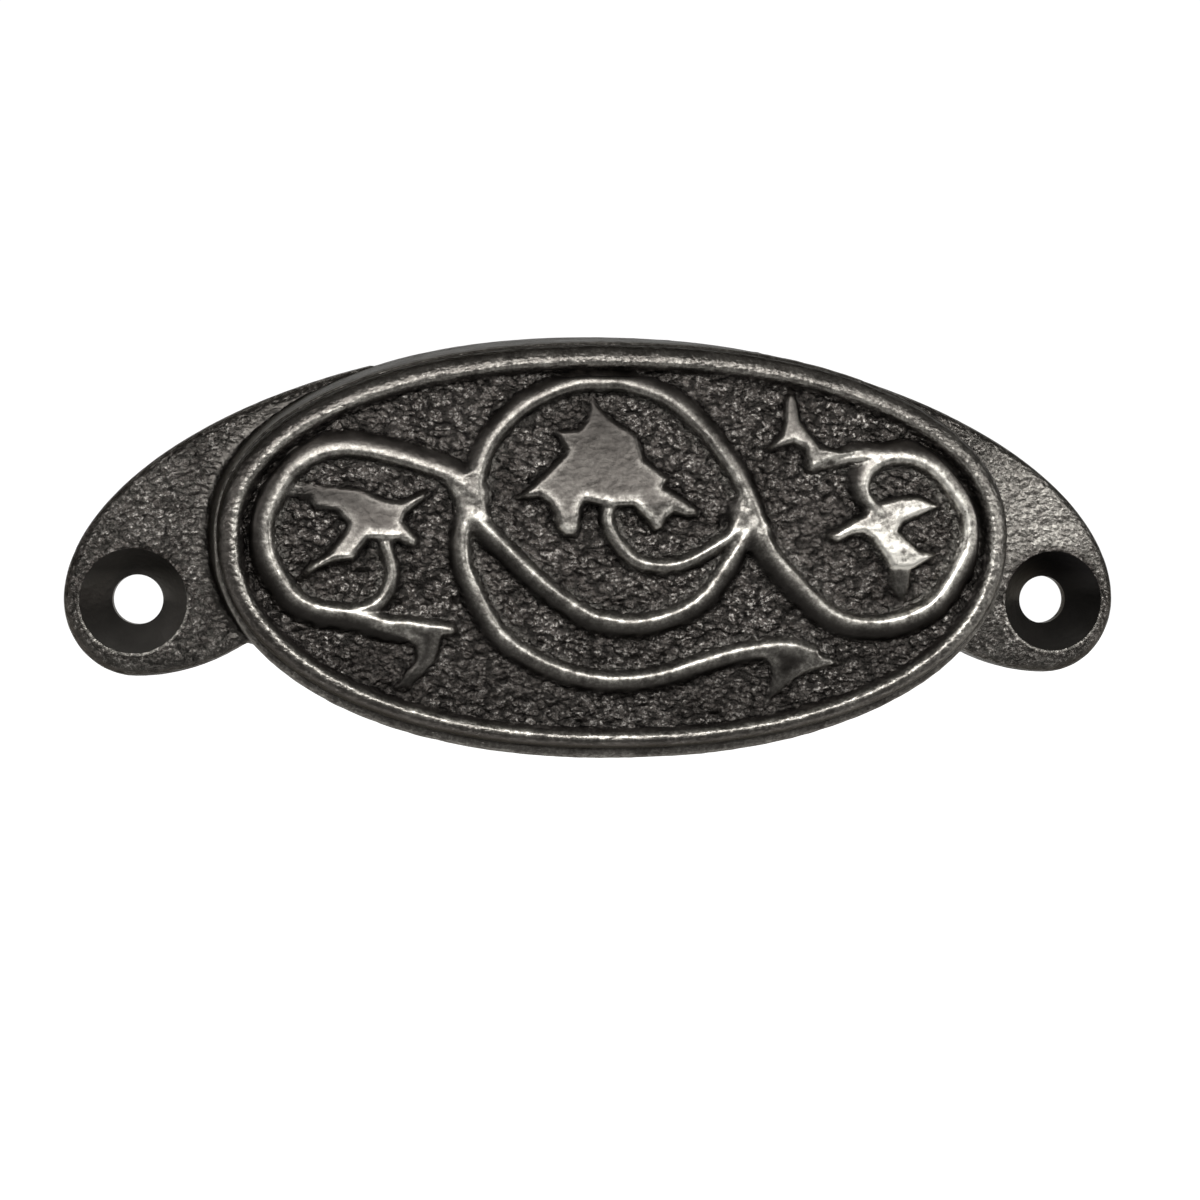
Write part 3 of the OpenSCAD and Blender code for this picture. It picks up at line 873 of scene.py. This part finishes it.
def shade_and_grime_tone(s, wear):
    """How dark each corner is: grime in the hollows, and painted shade on flanks, beside and below the
    vine, at the rim's foot, on the wall, towards the panel's bottom and on the ears.
    """
    # Grime in the hollows, where the skin bends inwards
    hollow = ramp(-bend_of(s), 0.1, 0.8)
    # Painted shade on the vine's steep flanks
    steep = np.where(s.panel & (s.rise > 0.1), STEEP_DARK * (1 - ramp(s.n[:, 2], 0.3, 0.8)), 0)
    # Painted shade on the ground beside the vine
    beside = np.where(s.panel, ramp(spread(s.rise, s.edges, BESIDE_PASSES) - s.rise, *BESIDE_SPAN), 0)
    # Painted shadow: the shade beside the vine is strongest below it, as under light from above
    middle = s.p[s.panel, :2] - (0, OVAL_Z)
    shade = relief(middle + (0, SHADE_W))[0] - relief(middle - (0, SHADE_W))[0]
    beside[s.panel] *= UPPER_SIDE_DARK + (1 - UPPER_SIDE_DARK) * ramp(shade, *SHADE_SPAN)
    # Painted shade on the rim's outer flank and at its foot
    rim_flank = CREST_FOOT_DARK * ramp(s.rim, -1.6, -1.3) + RIM_FOOT_DARK * ramp(s.off, -0.6, -0.25)
    rim_flank = (s.h > FOOT_H - 0.2) * rim_flank * (1 - ramp(s.off, -0.1, 0.05))
    # Painted shade on the wall
    wall = WALL_DARK * (s.h > EAR_T + 0.3) * (s.h < FOOT_H - 0.2) * ramp(s.off, 0.1, 0.4)
    # Painted shade on the vine's flanks away from its worn crest, less on flanks that face up
    flank = (1.0 - HIGH_FLANK_LOSS * ramp(s.rise, 0.4, 1.1)) * ramp(s.rise, 0.05, 0.3)
    flank = np.where(s.panel, flank * (1 - np.minimum(wear, 1)), 0)
    flank *= 1 - LIT_FLANK_LOSS * ramp(s.n[:, 1], 0.1, 0.5)
    # Painted shade, darker towards the panel's bottom
    bottom = np.where(s.panel, BOTTOM_DARK * (1 - ramp(s.up, *PANEL_BOTTOM)), 0)
    # Painted shade, darker towards the bottom of the ears
    ear_low = EAR_LOW_DARK * (s.h < EAR_T + 0.4) * ramp(-s.p[:, 1], *EAR_LOW_SPAN)
    # Painted shade also on the ears' band beside the wall and on their rounded edge
    return np.maximum.reduce([hollow, steep, beside, rim_flank, wall, flank, bottom, ear_low,
                              BAND_DARK * s.band, EAR_EDGE_DARK * s.edge])


def even_tone(s):
    """How smooth each corner is: the vine, the wall and rim, and the ears' edges and rub spot."""
    vine = VINE_EVEN * ramp(s.rise, 0.1, 0.5)
    wall = np.where(s.panel | (s.h < EAR_T + 0.6), 0, WALL_EVEN)
    ear = EAR_EDGE_EVEN * np.maximum(s.band, s.edge)
    return np.maximum.reduce([vine, wall, ear, RUB_EVEN * s.plate * s.rub])


def paint(piece):
    """Give each corner how burnished, how dark and how smooth it is."""
    s = survey(piece)
    s.rise = np.zeros(len(s.p))
    s.shine = np.zeros(len(s.p))
    s.rise[s.panel], s.shine[s.panel] = relief(s.p[s.panel, :2] - (0, OVAL_Z))
    s.plate = (s.h < EAR_T + 0.4) * (s.n[:, 2] > 0.5)
    s.rub = np.exp(-((s.x - RUB_PLACE[0]) / RUB_R) ** 2 - ((s.p[:, 1] - RUB_PLACE[1]) / RUB_R) ** 2)
    # The ears' band beside the wall and their rounded edge, which get painted shade and smoother skin
    s.band = s.plate * (1 - ramp(s.off, *BAND_SPAN)) * (s.n[:, 2] > 0.8)
    s.edge = s.plate * (1 - ramp(s.h, *EAR_ROUND))
    clear = ramp(hole_distance(s.p), SINK_R + 0.1, SINK_R + 0.8)
    wear = wear_tone(s)
    tones = {
        "wear": spread(wear, s.edges, 1) * clear,
        # Painted shade, with grime in the hollows
        "shade_and_grime": spread(shade_and_grime_tone(s, wear), s.edges, 1) * clear,
        "even": even_tone(s)
    }
    for name, values in tones.items():
        layer = piece.data.attributes.new(name, "FLOAT", "POINT")
        layer.data.foreach_set("value", values.astype(np.float32))


def sharpen(piece):
    """Mark the hard edges: every clear corner at the screw holes, only the sharpest elsewhere."""
    p, _, e = read_mesh(piece)
    mesh = piece.data
    at_hole = np.all(hole_distance(p)[e] < SINK_R + 0.3, axis=1)
    marks = []
    for angle in (HOLE_SHARP, SKIN_SHARP):
        mesh.set_sharp_from_angle(angle=math.radians(angle))
        mark = np.zeros(len(e), bool)
        if "sharp_edge" in mesh.attributes:
            mesh.attributes["sharp_edge"].data.foreach_get("value", mark)
        marks.append(mark)
    mark = np.where(at_hole, marks[0], marks[1])
    if "sharp_edge" not in mesh.attributes:
        mesh.attributes.new("sharp_edge", "BOOLEAN", "EDGE")
    mesh.attributes["sharp_edge"].data.foreach_set("value", mark)


def put(tree, socket, value):
    """Set a node's input to a value or to another node's output."""
    if isinstance(value, bpy.types.NodeSocket):
        tree.links.new(value, socket)
    else:
        socket.default_value = value


def node(tree, kind, **inputs):
    """Add a shader node and set its inputs, each by name, or by number as i0, i1 and so on."""
    made = tree.nodes.new(kind)
    for name, value in inputs.items():
        numbered = name[0] == "i" and name[1:].isdigit()
        put(tree, made.inputs[int(name[1:]) if numbered else name.replace("_", " ")], value)
    return made


def mix(tree, share, a, b):
    """Colour between a and b."""
    made = tree.nodes.new("ShaderNodeMix")
    made.data_type = "RGBA"
    for i, value in ((0, share), (6, a), (7, b)):
        put(tree, made.inputs[i], value)
    return made.outputs[2]


def math_node(tree, operation, a, b=0.0, c=0.0):
    """Output of a sum, product or like step."""
    made = node(tree, "ShaderNodeMath", i0=a, i1=b, i2=c)
    made.operation = operation
    return made.outputs[0]


def product(tree, *factors):
    """Product of two or more values."""
    result = factors[0]
    for factor in factors[1:]:
        result = math_node(tree, "MULTIPLY", result, factor)
    return result


def vector_node(tree, operation, a, b):
    """Output of a step on two vectors."""
    made = node(tree, "ShaderNodeVectorMath", i0=a, i1=b)
    made.operation = operation
    return made.outputs[0]


def between(tree, value, low, high):
    """0 below low, 1 above high, or the other way round where low is the larger."""
    return node(tree, "ShaderNodeMapRange", Value=value, From_Min=low, From_Max=high).outputs[0]


def noise_node(tree, where, scale, detail, roughness=0.6):
    """Noise in the piece's own space."""
    made = node(tree, "ShaderNodeTexNoise", Vector=where, Scale=scale, Detail=detail, Roughness=roughness)
    return made.outputs[0]


def spots(tree, where, scale, detail, low, high):
    """Noise in the piece's own space, stretched to run from 0 to 1 between two levels."""
    return between(tree, noise_node(tree, where, scale, detail), low, high)


def from_hole(tree, place):
    """Distance from the nearest screw hole's axis, in millimetres."""
    across = math_node(tree, "SUBTRACT", math_node(tree, "ABSOLUTE", place.outputs["X"]), HOLE_X * MM)
    upward = math_node(tree, "POWER", place.outputs["Z"], 2.0)
    square = math_node(tree, "ADD", math_node(tree, "POWER", across, 2.0), upward)
    return product(tree, math_node(tree, "SQRT", square), 1 / MM)


def pebbles(tree, where, pebble):
    """Distance from the middle of the nearest pebble, drawn out sideways and bent out of true."""
    drift = node(tree, "ShaderNodeTexNoise", Vector=where, Scale=DRIFT_SCALE, Detail=2.0)
    bent = vector_node(tree, "MULTIPLY", drift.outputs["Color"], (0.0012, 0.0010, 0.0009))
    bent = vector_node(tree, "ADD", where, bent)
    wide = vector_node(tree, "MULTIPLY", bent, (0.72, 1.0, 1.0))
    lump = node(tree, "ShaderNodeTexVoronoi", Vector=wide, Scale=LUMP_SCALE).outputs["Distance"]
    return math_node(tree, "ADD", lump, math_node(tree, "MULTIPLY_ADD", pebble, 1.3, -0.65))


def iron_material():
    """Blackened iron: pebbled dark skin with painted glints and painted shade, burnished crests, and dark
    countersinks with painted shading.
    """
    made = bpy.data.materials.new("burnished_iron")
    made.use_nodes = True
    tree = made.node_tree
    shader = tree.nodes["Principled BSDF"]
    where = tree.nodes.new("ShaderNodeTexCoord").outputs["Object"]
    tone = {}
    # Tones from the corners: wear, painted shade with grime in the hollows, and smoothness
    for name in ("wear", "shade_and_grime", "even"):
        read = tree.nodes.new("ShaderNodeAttribute")
        read.attribute_name = name
        tone[name] = read.outputs["Fac"]

    # Countersinks, and a painted highlight on the lower half of their edges, where light from above falls,
    # on the front only
    place = node(tree, "ShaderNodeSeparateXYZ", Vector=where)
    radius = from_hole(tree, place)
    front = between(tree, place.outputs["Y"], -0.0002, -0.0005)
    hole = product(tree, between(tree, radius, SINK_R + 0.04, SINK_R - 0.04), front)
    # Painted highlight: only the lower half of each countersink's edge
    sink_edge_highlight = product(tree, between(tree, radius, SINK_R - 0.02, SINK_R + 0.04),
                        between(tree, radius, SINK_R + 0.3, SINK_R + 0.12),
                        between(tree, place.outputs["Z"], 0.001, -0.002), front)

    # Grain from coarse to fine
    patch = spots(tree, where, PATCH_SCALE, 2.0, 0.36, 0.66)
    cloud = spots(tree, where, CLOUD_SCALE, 4.0, 0.35, 0.68)
    pebble = noise_node(tree, where, PEBBLE_SCALE, 3.0)
    fine = noise_node(tree, where, FINE_SCALE, 3.0, 0.65)
    lump = pebbles(tree, where, pebble)
    # Painted glints on the pebbles' tops, in random patches
    glint = product(tree, between(tree, fine, 0.50, 0.66), between(tree, lump, 0.62, 0.32),
                    math_node(tree, "MULTIPLY_ADD", patch, 0.9, 0.1))

    # Dark skin, with cracks between the pebbles and painted glints on them, darkened by painted shade and
    # by grime in the hollows
    rough_skin = math_node(tree, "SUBTRACT", 1.0, tone["even"])
    patina = mix(tree, cloud, PATINA_DARK, PATINA_PALE)
    patina = mix(tree, product(tree, between(tree, lump, 0.38, 0.72), rough_skin), patina, CRACK)
    # Painted glints on the rough skin
    patina = mix(tree, product(tree, glint, rough_skin), patina, GLINT)
    # Painted shade, with grime in the hollows
    patina = mix(tree, product(tree, tone["shade_and_grime"], 0.9), patina, SHADE_AND_GRIME_COLOUR)

    # Burnished metal over it, polished where it is worn most, and a painted highlight on the countersinks'
    # lower edges
    jag = math_node(tree, "MULTIPLY_ADD", pebble, 2.4, -0.55)
    wear_and_highlight = product(tree, tone["wear"], math_node(tree, "MULTIPLY_ADD", cloud, 0.4, jag))
    bright = mix(tree, between(tree, fine, 0.4, 0.65), BURNISH_AND_HIGHLIGHT_DULL, BURNISH_AND_HIGHLIGHT_PALE)
    bright = mix(tree, math_node(tree, "SUBTRACT", wear_and_highlight, 0.8), bright, POLISH)
    # Painted highlight on the lower half of the countersinks' edges
    wear_and_highlight = math_node(tree, "MAXIMUM", wear_and_highlight, product(tree, sink_edge_highlight, 0.8))
    wear_and_highlight = product(tree, wear_and_highlight, math_node(tree, "SUBTRACT", 1.0, hole))
    colour = mix(tree, wear_and_highlight, patina, bright)

    # Countersinks with painted shade: darker on the right and at the top, lighter at the bottom where light
    # falls
    down = between(tree, place.outputs["Z"], 0.003, -0.0035)
    left_sink = mix(tree, down, LEFT_SINK_TOP, LEFT_SINK_BOTTOM)
    right_sink = mix(tree, down, RIGHT_SINK_TOP, RIGHT_SINK_BOTTOM)
    sink = mix(tree, between(tree, place.outputs["X"], -0.01, 0.01), left_sink, right_sink)
    put(tree, shader.inputs["Base Color"], mix(tree, hole, colour, sink))
    put(tree, shader.inputs["Metallic"], METALLIC)
    put(tree, shader.inputs["Specular Tint"], EDGE_TINT)
    rough = math_node(tree, "MULTIPLY_ADD", tone["even"], 0.06, 0.29)
    put(tree, shader.inputs["Roughness"], math_node(tree, "MULTIPLY_ADD", cloud, 0.08, rough))

    # Small bumps, hardly any in the countersinks and where the skin is smooth
    bumpy = product(tree, math_node(tree, "MULTIPLY_ADD", hole, -0.95, 1.0),
                    math_node(tree, "MULTIPLY_ADD", tone["even"], -0.95, 1.0))
    below = {}
    for height, distance in ((lump, LUMP_BUMP), (pebble, PEBBLE_BUMP), (fine, FINE_BUMP)):
        bump = node(tree, "ShaderNodeBump", Strength=bumpy, Distance=distance, Height=height, **below)
        below = {"Normal": bump.outputs[0]}
    put(tree, shader.inputs["Normal"], below["Normal"])
    return made


def add_floor():
    """Pale floor that glows softly from the pull backwards."""
    r = FLOOR_REACH
    corners = np.array([(-r, -r, FLOOR_Z), (r, -r, FLOOR_Z), (r, r, FLOOR_Z), (-r, r, FLOOR_Z)])
    floor = add_mesh("floor", corners, [[0, 1, 2, 3]])
    pale = bpy.data.materials.new("pale_floor")
    pale.use_nodes = True
    tree = pale.node_tree
    shader = tree.nodes["Principled BSDF"]
    where = tree.nodes.new("ShaderNodeTexCoord").outputs["Object"]
    cloud = spots(tree, where, 3.0, 2.0, 0.3, 0.7)
    put(tree, shader.inputs["Base Color"], mix(tree, cloud, FLOOR_DARK, FLOOR_PALE))
    put(tree, shader.inputs["Roughness"], 0.9)
    put(tree, shader.inputs["Specular IOR Level"], 0.0)
    put(tree, shader.inputs["Emission Color"], (1, 1, 1, 1))
    depth = node(tree, "ShaderNodeSeparateXYZ", Vector=where).outputs["Y"]
    put(tree, shader.inputs["Emission Strength"], between(tree, depth, *FLOOR_GLOW))
    floor.data.materials.append(pale)


def add_sky():
    """Sky that is white behind the pull, soft above it and dark in front."""
    world = bpy.data.worlds.new("studio")
    bpy.context.scene.world = world
    world.use_nodes = True
    tree = world.node_tree
    facing = tree.nodes.new("ShaderNodeTexCoord").outputs["Generated"]
    facing = node(tree, "ShaderNodeSeparateXYZ", Vector=facing)
    behind = between(tree, facing.outputs["Y"], 0.5, 0.8)
    above = between(tree, facing.outputs["Z"], 0.4, 0.95)
    soft = mix(tree, above, SKY_FRONT, SKY_TOP)
    put(tree, tree.nodes["Background"].inputs["Color"], mix(tree, behind, soft, SKY_BEHIND))


def add_lamps():
    """Soft lamps in front, all aimed at the pull."""
    for name, place, wide, high, power in LAMPS:
        light = bpy.data.lights.new(name, "AREA")
        light.shape = "RECTANGLE"
        light.size = wide
        light.size_y = high
        light.energy = power
        light.spread = LAMP_SPREAD
        stand = bpy.data.objects.new(name, light)
        stand.location = place
        stand.rotation_euler = (-Vector(place)).to_track_quat("-Z", "Y").to_euler()
        bpy.context.collection.objects.link(stand)


def add_camera():
    """Camera at the photograph's viewing angle."""
    eye = bpy.data.cameras.new("camera")
    eye.lens = CAMERA_LENS
    eye.sensor_width = CAMERA_SENSOR
    eye.clip_start = CAMERA_CLIP
    stand = bpy.data.objects.new("camera", eye)
    stand.location = CAMERA_PLACE
    turn = Euler((CAMERA_TILT, 0, 0)).to_matrix() @ Euler((0, 0, CAMERA_TURN)).to_matrix()
    stand.rotation_euler = (turn @ Euler((math.radians(90), 0, 0)).to_matrix()).to_euler()
    bpy.context.collection.objects.link(stand)
    bpy.context.scene.camera = stand


casting = build_casting()
roughen(casting)
cut_holes(casting)
paint(casting)
casting.data.shade_smooth()
sharpen(casting)
casting.data.materials.clear()
casting.data.materials.append(iron_material())
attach(casting, "root")
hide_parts("cup_pull")
add_floor()
add_sky()
add_lamps()
add_camera()
bpy.context.scene.view_settings.view_transform = "Standard"
